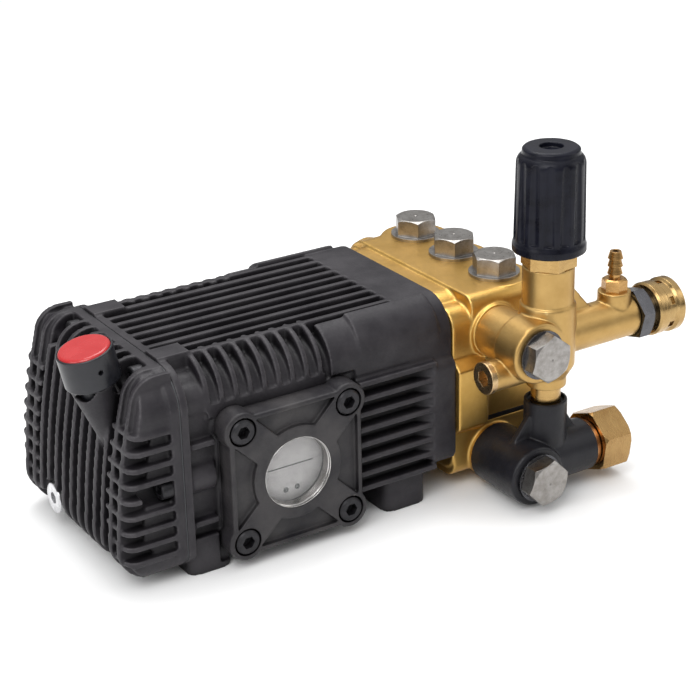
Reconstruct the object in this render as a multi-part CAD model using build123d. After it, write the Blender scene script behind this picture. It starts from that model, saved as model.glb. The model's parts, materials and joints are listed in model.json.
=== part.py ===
from build123d import *
import math
import os

# Direct-drive triplex plunger pump, millimetres.
# Origin: on the crank axis, in the engine mounting face. +X towards the manifold, +Y along the crank
# axis out towards the engine, +Z up. The sight glass side is the near side (-Y).

# ---- driving dimensions -------------------------------------------------------------------------
MID = -81.0                # middle plane of the crankcase and of the three cylinders
PITCH = 36.7               # between cylinders
THROW = 3.5                # crank throw: half the plunger stroke
ROD_LENGTH = 56.0          # big end to small end
FIT = 0.05                 # radial running clearance

# crankcase
JOINT_X = -60.0            # rear cover joint
FRONT_X = 100.0            # manifold joint
RIB_HALF = 62.6            # half width over the side ribs
SHOULDER_HALF = 58.5       # half width of the smooth shoulder above the ribs
WALL_HALF = 55.5           # half width at the root of the ribs
TOP_Z = 64.6               # over the top fins
DECK_Z = 57.5              # at the root of the top fins
SIDE_TOP_Z = 36.0          # the ribbed band ends here
FLOOR_Z = -29.0            # underside of the case
SUMP_Z = -40.0             # underside of the sump below the crank
GASKET = 0.6
FOOT_Z = -45.0             # underside of the feet
COVER_HALF = 37.5          # bearing cover, half side
COVER_BACK = 57.0          # bearing cover joint, from the middle plane
COVER_FACE = 69.0          # bearing cover outer face, from the middle plane
COVER_BOLT = 30.0          # half of the 60 mm bolt square
ENGINE_FACE = 81.0         # engine mounting face, from the middle plane
ENGINE_PCD = 92.1          # 3-5/8 inch engine bolt circle
ENGINE_HOLE_R = 4.25       # clearance for 5/16 inch bolts
ENGINE_HALF = 42.0         # engine flange, half side

# crank
SHAFT_R = 17.5
BORE_R = 9.525             # 3/4 inch engine shaft
BORE_LENGTH = 75.0
KEY_WIDTH = 4.76
BEARING_R = 31.0
BEARING_WIDTH = 14.0
BALL_R = 3.9
BALL_CIRCLE = 24.25
ECCENTRIC_R = 22.5
ROD_HALF = 5.5             # half width of a big end
CRANK_ANGLES = (90, 210, 330)

# plungers and valves
GUIDE_R = 13.5
PLUNGER_R = 9.0
VALVE_X = 143.0            # axis of the discharge valves
PLUG_TOP_Z = 74.1
PLUG_COLLAR_Z = 63.0       # manifold deck under the plug collars
SUCTION_Z = -20.0          # axis of the suction valves
MANIFOLD_FRONT = 164.0
PLUG_AF = 21.0
GALLERY_X = 126.0
DISCHARGE_Z = 42.5         # upper gallery
INTAKE_Z = -27.0           # lower gallery

# unloader, outlet and inlet
TOWER_X = 141.4
TOWER_Y = MID - 84.6
TOWER_TOP = 83.0
KNOB_BASE = 91.6
HEAD_NEAR = MID - 62.4     # near end of the manifold's gallery bosses
RING_FAR = MID - 80.6      # the unloader's neck ends in a wider ring here
BANJO_NEAR = MID - 99.6    # near end of the two banjo rings
ARM_Z = 43.0
ARM_END = 195.5
BARB_X = 185.5
COUPLER_HEX = 8.0          # length of the coupler's hexagon
BARREL_R = 10.8
BARREL_LENGTH = 20.7
HOSE_Z = -25.0
INLET_END = 167.0
NUT_BACK = 170.2           # swivel nut
NUT_LENGTH = 17.8

CENTRES = [MID + PITCH * step for step in (1, 0, -1)]
HERE = (Align.CENTER, Align.CENTER, Align.MIN)
UNDER = (Align.CENTER, Align.CENTER, Align.MAX)
FACING = {
    "X": Rot(0, 90, 0),
    "-X": Rot(0, -90, 0),
    "Y": Rot(-90, 0, 0),
    "-Y": Rot(90, 0, 0),
    "Z": Rot(0, 0, 0),
    "-Z": Rot(180, 0, 0),
}


# ---- helpers ------------------------------------------------------------------------------------
def aim(shape, direction, x, y, z):
    """Turn a shape built along +Z from the origin so that it points in a direction from (x, y, z)."""
    return Pos(x, y, z) * FACING[direction] * shape


def bar(direction, radius, length, x, y, z):
    return aim(Cylinder(radius, length, align=HERE), direction, x, y, z)


def tube(direction, outer, inner, length, x, y, z):
    ring = Cylinder(outer, length, align=HERE) - Cylinder(inner, length, align=HERE)
    return aim(ring, direction, x, y, z)


def soft_bar(direction, radius, length, edge, x, y, z):
    """Cylinder with a rounded far edge."""
    shape = Cylinder(radius, length, align=HERE)
    shape = fillet(shape.edges().filter_by(GeomType.CIRCLE).sort_by(Axis.Z)[-1], edge)
    return aim(shape, direction, x, y, z)


def hex_head(direction, flats, height, x, y, z, turn=0.0):
    """Hexagon head with its outer corners chamfered."""
    corner = flats / math.sqrt(3)
    prism = Rot(0, 0, turn) * extrude(RegularPolygon(corner, 6), height)
    turned = Cylinder(corner, height, align=HERE)
    turned = chamfer(turned.edges().filter_by(GeomType.CIRCLE).sort_by(Axis.Z)[-1], 1.2, 1.9)
    return aim(prism & turned, direction, x, y, z)


def block(x0, x1, y0, y1, z0, z1):
    return Pos((x0 + x1) / 2, (y0 + y1) / 2, (z0 + z1) / 2) * Box(x1 - x0, y1 - y0, z1 - z0)


def slab(x0, x1, half_width, bottom, top, shoulder, lower):
    """Block along X with round shoulders and round lower edges, centred on the middle plane."""
    outline = Pos(0, (bottom + top) / 2) * Rectangle(2 * half_width, top - bottom)
    outline = fillet(outline.vertices().group_by(Axis.Y)[-1], shoulder)
    outline = fillet(outline.vertices().group_by(Axis.Y)[0], lower)
    return Pos(x0, MID, 0) * extrude(Plane.YZ * outline, x1 - x0)


def socket_screw(direction, size, length, x, y, z):
    """Socket head cap screw with its head seated at (x, y, z); the head points in the direction."""
    head = Cylinder(0.8125 * size, size, align=HERE)
    head = chamfer(head.edges().filter_by(GeomType.CIRCLE).sort_by(Axis.Z)[-1], 0.1 * size)
    head -= Pos(0, 0, 0.45 * size) * extrude(RegularPolygon(0.75 * size / math.sqrt(3), 6), size)
    shank = Pos(0, 0, -length) * Cylinder(size / 2, length, align=HERE)
    return aim(head + shank, direction, x, y, z)


def torus_ring(direction, circle, section, x, y, z):
    return aim(Torus(circle, section), direction, x, y, z)


def coil(radius, wire, turns, bottom, top):
    """Compression spring on the Z axis, between two heights."""
    low = bottom + wire
    high = top - wire
    path = Pos(0, 0, low) * Helix(pitch=(high - low) / turns, height=high - low, radius=radius)
    section = Plane(origin=path @ 0, z_dir=path % 0) * Circle(wire)
    return sweep(section, path=path, is_frenet=True)


def mirrored(shape):
    """The same shape on the other side of the middle plane."""
    return mirror(shape, Plane.XZ.offset(-MID))


# ---- crankcase ----------------------------------------------------------------------------------
TOP_FINS = [MID + 8.6 * (step - 4.5) for step in range(10)]
TOP_FIN_END = 74.0
RIB_HEIGHTS = [33.3 - 8.38 * step for step in range(8)]
RIB_START = 40.6           # just clear of the bearing cover
RIB_END = 86.0
SHOULDER_FINS = [-41.8 + 7.95 * step for step in range(9)]
REAR_SCREWS = [(-57.0, 6.0), (57.0, 6.0), (-34.5, 57.5), (34.5, 57.5), (-34.5, -33.0), (34.5, -33.0)]
MANIFOLD_BOLTS = [(side * PITCH / 2, z) for side in (-3, -1, 1, 3) for z in (24.0, -8.0)]


def shoulder_fin(x):
    """Arched fin over the bearing boss, from the cover's ledge up to the near-most top fin."""
    outline = make_face(
        Polyline((WALL_HALF - 20, SIDE_TOP_Z + 3), (COVER_BACK, SIDE_TOP_Z + 3), (COVER_BACK, 43.0))
        + RadiusArc((COVER_BACK, 43.0), (38.0, TOP_Z), -20.5)
        + Polyline((38.0, TOP_Z), (WALL_HALF - 20, TOP_Z), (WALL_HALF - 20, SIDE_TOP_Z + 3))
    )
    return Pos(x - 1.4, MID, 0) * extrude(Plane.YZ * outline, 2.8)


def bearing_boss():
    """Square boss that the bearing cover seats on, with the round bearing housing inside it."""
    outline = fillet(Rectangle(2 * COVER_HALF, 2 * COVER_HALF).vertices(), 7.5)
    for sx in (-1, 1):
        for sz in (-1, 1):
            outline += Pos(sx * COVER_BOLT, sz * COVER_BOLT) * Circle(10)
    boss = aim(extrude(outline, 12), "Y", 0, MID - COVER_BACK, 0)
    ledge = block(-42, 24, MID - COVER_BACK, MID - WALL_HALF + 6, COVER_HALF - 2, 43)
    return boss + ledge + bar("Y", 38, BEARING_WIDTH, 0, MID - COVER_BACK, 0)


def engine_flange():
    """Neck and square flange that bolt to the engine."""
    neck = fillet(Rectangle(78, 78).vertices(), 9)
    plate = fillet(Rectangle(2 * ENGINE_HALF, 2 * ENGINE_HALF).vertices(), 9)
    shape = aim(extrude(neck, ENGINE_FACE - WALL_HALF + 8), "Y", 0, MID + WALL_HALF - 8, 0)
    shape += aim(extrude(plate, 13), "-Y", 0, MID + ENGINE_FACE, 0)
    shape += bar("Y", 38, BEARING_WIDTH, 0, MID + COVER_BACK - BEARING_WIDTH, 0)
    return shape


def foot(x0, x1):
    """One cast foot across the case, with a wide recess under it so that it stands on its two ends."""
    outline = fillet(Rectangle(x1 - x0, 2 * 60.0).vertices(), 5)
    pad = Pos((x0 + x1) / 2, MID, FOOT_Z) * extrude(outline, FLOOR_Z - FOOT_Z + 4)
    return pad - block(x0 - 1, x1 + 1, MID - 34, MID + 34, FOOT_Z - 1, FLOOR_Z - 2)


def crankcase():
    shape = slab(JOINT_X, FRONT_X, WALL_HALF, FLOOR_Z, DECK_Z, 16, 6)
    shape += slab(JOINT_X, 42, WALL_HALF - 3, SUMP_Z, 0, 1, 6)
    # smooth front band, top plateau and plain shoulders
    shape += slab(RIB_END, FRONT_X, RIB_HALF, FLOOR_Z + 4, SIDE_TOP_Z - 2, 5, 6)
    shape += slab(TOP_FIN_END, FRONT_X, SHOULDER_HALF, SIDE_TOP_Z - 3, TOP_Z - 0.4, 20, 1)
    shoulders = slab(27, TOP_FIN_END + 1, SHOULDER_HALF, SIDE_TOP_Z, TOP_Z - 0.4, 20, 1)
    shoulders -= block(20, TOP_FIN_END, MID - 42.5, MID + 42.5, SIDE_TOP_Z - 1, TOP_Z + 1)
    shape += shoulders
    # long shallow raised boss on each shoulder
    pad = slab(44, 92, SHOULDER_HALF, SIDE_TOP_Z, TOP_Z + 1.4, 19, 1)
    pad -= block(43, 93, MID - 43, MID + 43, SIDE_TOP_Z - 1, TOP_Z + 3)
    shape += pad
    # rear flange
    shape += slab(JOINT_X, JOINT_X + 5, RIB_HALF, -38, TOP_Z, 20, 9)
    # the ribs fade into the front band
    ramp = make_face(Polyline((RIB_END - 10, WALL_HALF - 1), (RIB_END + 1, RIB_HALF), (RIB_END + 1, WALL_HALF - 1),
                              (RIB_END - 10, WALL_HALF - 1)))
    ramp = Pos(0, MID, FLOOR_Z + 8) * extrude(ramp, SIDE_TOP_Z - FLOOR_Z - 12)
    shape += ramp
    shape += mirrored(ramp)
    for y in TOP_FINS:
        shape += block(JOINT_X, TOP_FIN_END + 1, y - 1.5, y + 1.5, DECK_Z - 1, TOP_Z)
    for side in (-1, 1):
        for z in RIB_HEIGHTS:
            y0, y1 = sorted((MID + side * RIB_HALF, MID + side * (WALL_HALF - 2)))
            shape += block(RIB_START, RIB_END + 2, y0, y1, z - 1.5, z + 1.5)
        for z in (RIB_HEIGHTS[1], RIB_HEIGHTS[6]):
            y0, y1 = sorted((MID + side * (RIB_HALF - 1.5), MID + side * (WALL_HALF - 2)))
            shape += block(JOINT_X, -RIB_START, y0, y1, z - 1.5, z + 1.5)
        # flat pads that the rear cover's top screws run into
        shape += block(JOINT_X, -42, MID + side * 34.5 - 6.5, MID + side * 34.5 + 6.5, DECK_Z - 6, TOP_Z + 1.4)
        shape += bar("X", 8, 20, JOINT_X, MID + side * 53, 6.0)
        shape += bar("X", 6, 16, JOINT_X, MID + side * 34.5, -31.0)
    for x in SHOULDER_FINS:
        fin = shoulder_fin(x)
        shape += fin
        shape += mirrored(fin)
    for side in (-1, 1):
        shoulder_rest = bar("X", 10, 18, JOINT_X, MID + side * 47, 44)
        shape += shoulder_rest
    shape += bearing_boss()
    shape += engine_flange()
    for x0, x1 in ((-58, -34), (57, 83)):
        shape += foot(x0, x1)
    # room for the bearing cover
    shape -= block(-RIB_START, RIB_START, MID - COVER_FACE, MID - COVER_BACK, -42, 40.6)
    # inside: crank chamber, guide tubes, plunger holes
    inner = COVER_BACK - BEARING_WIDTH
    chamber = slab(JOINT_X - 1, 88, WALL_HALF - 8.5, FLOOR_Z + 6, DECK_Z - 6, 12, 6)
    chamber += slab(JOINT_X - 1, 36, WALL_HALF - 8.5, SUMP_Z + 5, 0, 1, 4)
    for side in (-1, 1):
        chamber -= bar("Y", 38, 20, 0, MID + (inner if side > 0 else -inner - 20), 0)
    shape -= chamber
    for y in CENTRES:
        shape += bar("X", 18.5, 50, 39, y, 0)
    for y in CENTRES:
        shape -= bar("X", GUIDE_R + FIT, 50.5, 38.5, y, 0)
        shape -= bar("X", PLUNGER_R + 0.5, 20, 85, y, 0)
        shape -= bar("X", 14, 10, 91, y, 0)
    # bearing housings and the engine pilot
    shape -= bar("Y", BEARING_R, BEARING_WIDTH, 0, MID - COVER_BACK, 0)
    shape -= bar("Y", BEARING_R, ENGINE_FACE, 0, MID + COVER_BACK - BEARING_WIDTH, 0)
    shape -= bar("Y", 27.5, 2 * COVER_BACK, 0, MID - COVER_BACK, 0)
    for dx in (-1, 1):
        for dz in (-1, 1):
            shape -= bar("Y", 4.0, 15, dx * COVER_BOLT, MID - COVER_BACK - 1, dz * COVER_BOLT)
            reach = ENGINE_PCD / 2 / math.sqrt(2)
            shape -= bar("-Y", ENGINE_HOLE_R, 14, dx * reach, MID + ENGINE_FACE + 0.5, dz * reach)
    for y, z in REAR_SCREWS:
        shape -= bar("X", 3.0, 13, JOINT_X - 0.5, MID + y, z)
    for y, z in MANIFOLD_BOLTS:
        shape -= bar("-X", 4.0, 10, FRONT_X + 0.5, MID + y, z)
    return shape - block(JOINT_X - 5, JOINT_X + GASKET, MID - 90, MID + 90, -60, 90)


# ---- rear cover ---------------------------------------------------------------------------------
REAR_FINS = [MID + 9.0 * step for step in range(-6, 7)]
SIDE_FINS = [38.0 - 8.2 * step for step in range(9)]
NECK_X, NECK_Y, NECK_Z = -91.9, MID - 30.0, 76.6      # top centre of the closed filler cap
NECK_TILT = 12.0                                      # degrees towards the rear
DRAIN_SEAT, DRAIN_Y, DRAIN_Z = -87.5, MID + 24.0, -27.0


def rear_profile(back, low):
    """Side view of the rear cover: nearly upright at the top and full at the bottom."""
    edge = min(-69 + back, JOINT_X - 1)
    outline = (
        Polyline((JOINT_X, low + 5), (JOINT_X, TOP_Z), (edge, TOP_Z))
        + ThreePointArc((edge, TOP_Z), (-77.5 + back, 61), (-81.8 + back, 53))
        + ThreePointArc((-81.8 + back, 53), (-88.6 + back, 20), (-93 + back, -17))
        + ThreePointArc((-93 + back, -17), (-90.2 + back, low + 6.5), (-82 + back, low))
        + Polyline((-82 + back, low), (JOINT_X - 4, low), (JOINT_X, low + 5))
    )
    return make_face(outline)


def along_y(face, y0, y1):
    """Extrude a side view between two Y planes."""
    return Pos(0, y1, 0) * extrude(Plane.XZ * face, y1 - y0)


def side_fin(z):
    """Leaf-shaped fin round the upright corner of the rear cover."""
    reach = -92 + 0.0023 * (z + 17) ** 2
    outline = make_face(
        Polyline((JOINT_X, -40), (JOINT_X, -RIB_HALF), (reach + 6, -RIB_HALF))
        + ThreePointArc((reach + 6, -RIB_HALF), (reach + 1.8, -60.8), (reach, -56.6))
        + Polyline((reach, -56.6), (reach, -40), (JOINT_X, -40))
    )
    return Pos(0, MID, z - 1.4) * extrude(outline, 2.8)


def filler_axis(shape):
    """Place a shape built on the Z axis, top at the origin, on the filler neck's axis."""
    return Pos(NECK_X, NECK_Y, NECK_Z) * Rot(0, -NECK_TILT, 0) * shape


def corner_boss(side):
    """Smooth upper corner of the rear cover, and the plain one below the side fins."""
    upper = along_y(rear_profile(3, -39), MID - 62, MID - 40)
    upper &= slab(-95, JOINT_X, 61.5, SIDE_FINS[0] + 1, TOP_Z - 0.5, 20, 1)
    lower = along_y(rear_profile(3, -39), MID - 61, MID - 40)
    lower &= slab(-95, JOINT_X, 61.5, -39, SIDE_FINS[-1] - 1, 1, 9)
    return upper + lower if side < 0 else mirrored(upper + lower)


def rear_cover():
    core = along_y(rear_profile(8, -34), MID - 55.5, MID + 55.5)
    core &= slab(-95, JOINT_X, 55.5, -34, DECK_Z + 1, 16, 8)
    shape = core + slab(JOINT_X - 5, JOINT_X, RIB_HALF, -38, TOP_Z, 20, 9)
    for y in REAR_FINS:
        shape += along_y(rear_profile(0, -39), y - 1.5, y + 1.5)
    for z in SIDE_FINS:
        fin = side_fin(z)
        shape += fin
        shape += mirrored(fin)
    for side in (-1, 1):
        shape += corner_boss(side)
        web_y = MID + side * 57.5
        web = along_y(rear_profile(12, -30), web_y - 1.2, web_y + 1.2)
        shape += web & block(-90, JOINT_X, web_y - 2, web_y + 2, SIDE_FINS[-1], SIDE_FINS[0])
    # oil filler neck: a cone that runs out on the rear face
    neck = Pos(0, 0, -18.5) * Rot(180, 0, 0) * Cone(12.6, 3.5, 41, align=HERE)
    shape += filler_axis(neck)
    shape -= filler_axis(Pos(0, 0, -18.5) * Cylinder(14.3, 30, align=HERE))
    # drain boss
    shape += bar("-X", 11, 20, -70, DRAIN_Y, DRAIN_Z) & along_y(rear_profile(3, -39), MID, MID + 50)
    # inside
    hollow = along_y(rear_profile(15, -27), MID - 47, MID + 47)
    hollow &= slab(-95, JOINT_X + 1, 47, -23, DECK_Z - 6, 12, 6)
    shape -= hollow
    shape -= filler_axis(Cylinder(8.5, 31, align=UNDER))
    shape -= filler_axis(Cylinder(4.0, 90, align=UNDER))
    shape -= bar("X", 5.0, 30, -96, DRAIN_Y, DRAIN_Z)
    shape -= bar("-X", 10, 12, DRAIN_SEAT, DRAIN_Y, DRAIN_Z)
    for y, z in REAR_SCREWS:
        shape -= bar("-X", 3.3, 7, JOINT_X + 1, MID + y, z)
        # the side pockets stop short of the upright corner
        depth = 17 if abs(y) > 50 else 34
        shape -= bar("-X", 6.2, depth, JOINT_X - 5, MID + y, z)
        if z > 50:
            shape -= block(JOINT_X - 39, JOINT_X - 5, MID + y - 6.2, MID + y + 6.2, z, TOP_Z + 1)
    return shape


def rear_cover_gasket():
    """Gasket between the two flanges."""
    ring = slab(JOINT_X, JOINT_X + GASKET, RIB_HALF - 0.6, -37.4, TOP_Z - 0.6, 19.4, 8.4)
    ring -= slab(JOINT_X - 1, JOINT_X + 2, WALL_HALF - 8.5, FLOOR_Z + 6, DECK_Z - 6, 12, 6)
    for y, z in REAR_SCREWS:
        ring -= bar("X", 3.4, 4, JOINT_X - 1, MID + y, z)
    return ring


def rear_cover_screws():
    return [socket_screw("-X", 6, 15, JOINT_X - 5, MID + y, z) for y, z in REAR_SCREWS]


def drain_plug():
    """Flanged plug with a hexagon socket, sunk among the fins."""
    shape = soft_bar("-X", 8.2, 4.6, 0.8, DRAIN_SEAT, DRAIN_Y, DRAIN_Z)
    shape += bar("X", 4.95, 14, DRAIN_SEAT, DRAIN_Y, DRAIN_Z)
    socket = extrude(RegularPolygon(6 / math.sqrt(3), 6), 4)
    return shape - aim(socket, "-X", DRAIN_SEAT - 1.6, DRAIN_Y, DRAIN_Z)


# ---- oil filler cap -----------------------------------------------------------------------------
def oil_filler_cap():
    """Black cap with a plug below it and the dipstick moulded on."""
    cap = Pos(0, 0, -18.2) * Cylinder(13.9, 17.2, align=HERE)
    cap = fillet(cap.edges().filter_by(GeomType.CIRCLE), 0.7)
    cap -= Pos(0, 0, -2.9) * Cylinder(13.0, 4, align=HERE)
    cap += Pos(0, 0, -30) * Cylinder(8.4, 13, align=HERE)
    cap += Pos(0, 0, -80) * Cylinder(2.2, 55, align=HERE)
    cap -= Pos(0, -15.5, -9) * Rot(-90, 0, 0) * Cylinder(1.3, 5, align=HERE)
    return filler_axis(cap)


def oil_cap_insert():
    """Domed disc that snaps into the cap."""
    dome = Pos(0, 0, -2.9) * Cylinder(12.9, 2.9, align=HERE)
    dome = fillet(dome.edges().filter_by(GeomType.CIRCLE).sort_by(Axis.Z)[-1], 1.8)
    return filler_axis(dome)


# ---- bearing cover and sight glass ---------------------------------------------------------------
def bearing_cover():
    outline = fillet(Rectangle(2 * COVER_HALF, 2 * COVER_HALF).vertices(), 7.5)
    for sx in (-1, 1):
        for sz in (-1, 1):
            outline += Pos(sx * COVER_BOLT, sz * COVER_BOLT) * Circle(10)
    plate = extrude(outline, COVER_FACE - COVER_BACK)
    top_edges = plate.edges().group_by(Axis.Z)[-1]
    plate = fillet(top_edges, 1.2)
    # four shallow panels between the diagonal arms
    panel = Rectangle(70, 70)
    panel -= Circle(25)
    for turn in (45, -45):
        panel -= Rot(0, 0, turn) * Rectangle(110, 17)
    plate -= Pos(0, 0, 9) * extrude(panel, 5)
    plate -= Pos(0, 0, 3) * Cylinder(19, 20, align=HERE)
    plate -= Cylinder(15, 20, align=HERE)
    plate -= Pos(0, 0, -0.01) * (Cylinder(36.2, 2.4, align=HERE) - Cylinder(33.2, 2.4, align=HERE))
    for sx in (-1, 1):
        for sz in (-1, 1):
            plate -= Pos(sx * COVER_BOLT, sz * COVER_BOLT, -1) * Cylinder(4.4, 30, align=HERE)
            plate -= Pos(sx * COVER_BOLT, sz * COVER_BOLT, 4.5) * Cylinder(7.4, 30, align=HERE)
    return aim(plate, "-Y", 0, MID - COVER_BACK, 0)


def bearing_cover_screws():
    seat = MID - COVER_BACK - 4.5
    return [
        socket_screw("-Y", 8, 16, sx * COVER_BOLT, seat, sz * COVER_BOLT)
        for sx in (-1, 1)
        for sz in (-1, 1)
    ]


def sight_glass_parts():
    inner = MID - COVER_BACK - 3
    reflector = bar("-Y", 18.8, 0.8, 0, inner, 0)
    for x, z in ((-3.0, -12.5), (3.6, -12.3)):
        reflector -= bar("-Y", 1.0, 2, x, inner + 0.5, z)
    glass = bar("-Y", 18.8, 2.6, 0, inner - 0.8, 0)
    bezel = tube("-Y", 19, 17.8, 1.2, 0, inner - 3.4, 0)
    return reflector, glass, bezel


# ---- crank train --------------------------------------------------------------------------------
def eccentric_centre(angle):
    return THROW * math.cos(math.radians(angle)), THROW * math.sin(math.radians(angle))


def crankshaft():
    """Hollow shaft with three round eccentrics and a keyway in its bore."""
    inner = COVER_BACK - BEARING_WIDTH
    end = MID + ENGINE_FACE - 4
    shape = bar("-Y", SHAFT_R, end - MID + COVER_BACK - 0.5, 0, end, 0)
    shape += bar("Y", SHAFT_R + 1, 2 * inner - 1, 0, MID - inner + 0.5, 0)
    for y, angle in zip(CENTRES, CRANK_ANGLES):
        x, z = eccentric_centre(angle)
        shape += bar("Y", ECCENTRIC_R, 2 * ROD_HALF + 1, x, y - ROD_HALF - 0.5, z)
    shape -= bar("-Y", BORE_R, BORE_LENGTH, 0, end + 0.01, 0)
    return shape - block(-KEY_WIDTH / 2, KEY_WIDTH / 2, end - BORE_LENGTH, end + 1, 0, BORE_R + 2.3)


def bearing_rings():
    """Outer rings, inner rings and balls of the two crank bearings."""
    outer, inner, balls = [], [], []
    for start in (MID - COVER_BACK, MID + COVER_BACK - BEARING_WIDTH):
        middle = start + BEARING_WIDTH / 2
        groove = torus_ring("Y", BALL_CIRCLE, BALL_R + FIT, 0, middle, 0)
        outer.append(tube("Y", BEARING_R, 27.3, BEARING_WIDTH, 0, start, 0) - groove)
        inner.append(tube("Y", 21.2, SHAFT_R, BEARING_WIDTH, 0, start, 0) - groove)
        for step in range(9):
            turn = math.radians(40 * step)
            balls.append(Pos(BALL_CIRCLE * math.cos(turn), middle, BALL_CIRCLE * math.sin(turn)) * Sphere(BALL_R))
    return outer, inner, balls


def connecting_rod(y, angle):
    """Rod, big-end cap, two cap screws and wrist pin, as separate solids."""
    x, z = eccentric_centre(angle)
    big = tube("Y", 28, ECCENTRIC_R + FIT, 2 * ROD_HALF, 0, y - ROD_HALF, 0)
    ears = block(-7, 7, y - ROD_HALF, y + ROD_HALF, -29.6, 29.6)
    ears -= bar("Y", ECCENTRIC_R + FIT, 20, 0, y - 10, 0)
    end = big + ears
    bolts = []
    for dz in (-25.7, 25.7):
        end -= bar("X", 2.5, 20, -8, y, dz)
        bolts.append(Pos(x, 0, z) * socket_screw("-X", 5, 12, -7, y, dz))
    cap = end - block(0, 60, y - 20, y + 20, -40, 40)
    rod = end - block(-60, 0, y - 20, y + 20, -40, 40)
    rod += block(24, ROD_LENGTH, y - 4, y + 4, -5, 5) + bar("Y", 6, 10, ROD_LENGTH, y - 5, 0)
    rod -= bar("Y", 3.5, 20, ROD_LENGTH, y - 10, 0)
    pin = bar("Y", 3.5, 15, ROD_LENGTH, y - 7.5, 0)
    return [Pos(x, 0, z) * rod, Pos(x, 0, z) * cap, Pos(x, 0, z) * pin] + bolts


def plunger_guide(y, angle):
    """Hollow crosshead that takes the small end, with the stem that carries the plunger."""
    x = ROD_LENGTH + eccentric_centre(angle)[0]
    cup = bar("X", GUIDE_R, 29, x - 10, y, 0) - bar("X", 11.3, 24.0, x - 10.5, y, 0)
    return cup + bar("X", PLUNGER_R - 1.0, 8, x + 18, y, 0)


def plunger(y, angle):
    """Ceramic plunger with a rounded nose, pressed on the guide's stem."""
    x = ROD_LENGTH + eccentric_centre(angle)[0] + 19.5
    shape = soft_bar("X", PLUNGER_R, 52, 1.2, x, y, 0)
    return shape - bar("X", PLUNGER_R - 1.0, 7, x - 0.5, y, 0)


# ---- manifold -----------------------------------------------------------------------------------
def manifold():
    far_end = MID + 63
    shape = slab(FRONT_X, 112, 59.5, -33, 57.5, 10, 9) + slab(FRONT_X + 1, 158, 59.5, -38, 57.5, 10, 8)
    deck = block(112, 152, MID - 59.5, MID + 60, 40, PLUG_COLLAR_Z)
    corners = deck.edges().filter_by(Axis.X).group_by(Axis.Z)[-1].sort_by(Axis.Y)
    deck = fillet(corners[0], 7)
    corners = deck.edges().filter_by(Axis.X).group_by(Axis.Z)[-1].sort_by(Axis.Y)
    shape += fillet(corners[-1], 17)
    # wider walls along both sides of the flange
    wall = make_face(Polyline((-30, -14), (56, -14), (65.5, -7), (65.5, 26), (56, 34), (-30, 34), (-30, -14)))
    wall = Pos(FRONT_X, MID, 0) * extrude(Plane.YZ * wall, 19)
    shape += wall
    shape += mirrored(wall)
    # raised pad between the crankcase and the valve deck
    pad = block(FRONT_X + 2, 113, MID - 50, MID + 50, 40, 61.5)
    shape += fillet(pad.edges().filter_by(Axis.X).group_by(Axis.Z)[-1], 14)
    for y in CENTRES:
        shape += bar("Z", 19.5, PLUG_COLLAR_Z + 34, VALVE_X, y, -34)
        shape += soft_bar("X", 17.5, 24, 2, MANIFOLD_FRONT - 24, y, SUCTION_Z)
    for z, radius in ((DISCHARGE_Z, 14.8), (INTAKE_Z, 15.5)):
        shape += bar("-Y", radius, far_end - HEAD_NEAR, GALLERY_X, far_end, z)
        shape -= bar("-Y", 8.0, far_end - HEAD_NEAR + 2, GALLERY_X, far_end + 1, z)
    for y in CENTRES:
        shape -= bar("X", 14, 28, FRONT_X - 0.5, y, 0)
        shape -= bar("X", PLUNGER_R + 1.5, 27, 127, y, 0)
        shape -= bar("Z", 6, 20, VALVE_X, y, 0)
        shape -= bar("Z", 12, 60, VALVE_X, y, 18)
        shape -= bar("X", 6, 15, GALLERY_X, y, SUCTION_Z)
        shape -= bar("X", 12, 40, 138, y, SUCTION_Z)
        shape -= bar("Z", 5, 22, 148.5, y, SUCTION_Z)
    for y, z in MANIFOLD_BOLTS:
        shape -= bar("X", 4.3, 80, FRONT_X - 1, MID + y, z)
        shape -= bar("X", 7.2, 20, 158, MID + y, z)
    return shape


def manifold_bolts():
    return [socket_screw("X", 8, 67, 158, MID + y, z) for y, z in MANIFOLD_BOLTS]


def packings():
    """High-pressure packing rings, brass retainers and oil seals round each plunger."""
    rings, retainers, oil_seals = [], [], []
    for y in CENTRES:
        rings.append(tube("X", 13.9, PLUNGER_R + FIT, 5, 122, y, 0))
        rings.append(tube("X", 13.9, PLUNGER_R + FIT, 4, 106, y, 0))
        retainers.append(tube("X", 13.9, PLUNGER_R + 0.3, 12, 110, y, 0))
        retainers.append(tube("X", 13.9, PLUNGER_R + 0.3, 5.5, 100.5, y, 0))
        oil_seals.append(tube("X", 13.9, PLUNGER_R + FIT, 7, 92, y, 0))
    return rings, retainers, oil_seals


def valve_set(y):
    """Seat, poppet, cage and spring of one valve, built along +Z with the seat face at Z = 5."""
    seat = Cylinder(11.9, 5, align=HERE) - Cylinder(5.5, 5, align=HERE)
    poppet = Pos(0, 0, 5.02) * Cylinder(7.5, 2.5, align=HERE) + Pos(0, 0, 7.5) * Cylinder(1.8, 9, align=HERE)
    cage = Pos(0, 0, 5) * (Cylinder(11.8, 14, align=HERE) - Cylinder(9.2, 12, align=HERE))
    cage -= Pos(0, 0, 16) * Cylinder(1.8 + 0.1, 10, align=HERE)
    for turn in (0, 60, 120):
        cage -= Rot(0, 0, turn) * Pos(0, 0, 12) * Box(30, 6, 7)
    spring = coil(4.2, 0.5, 3, 9.3, 16.8)
    return seat, poppet, cage, spring


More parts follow.
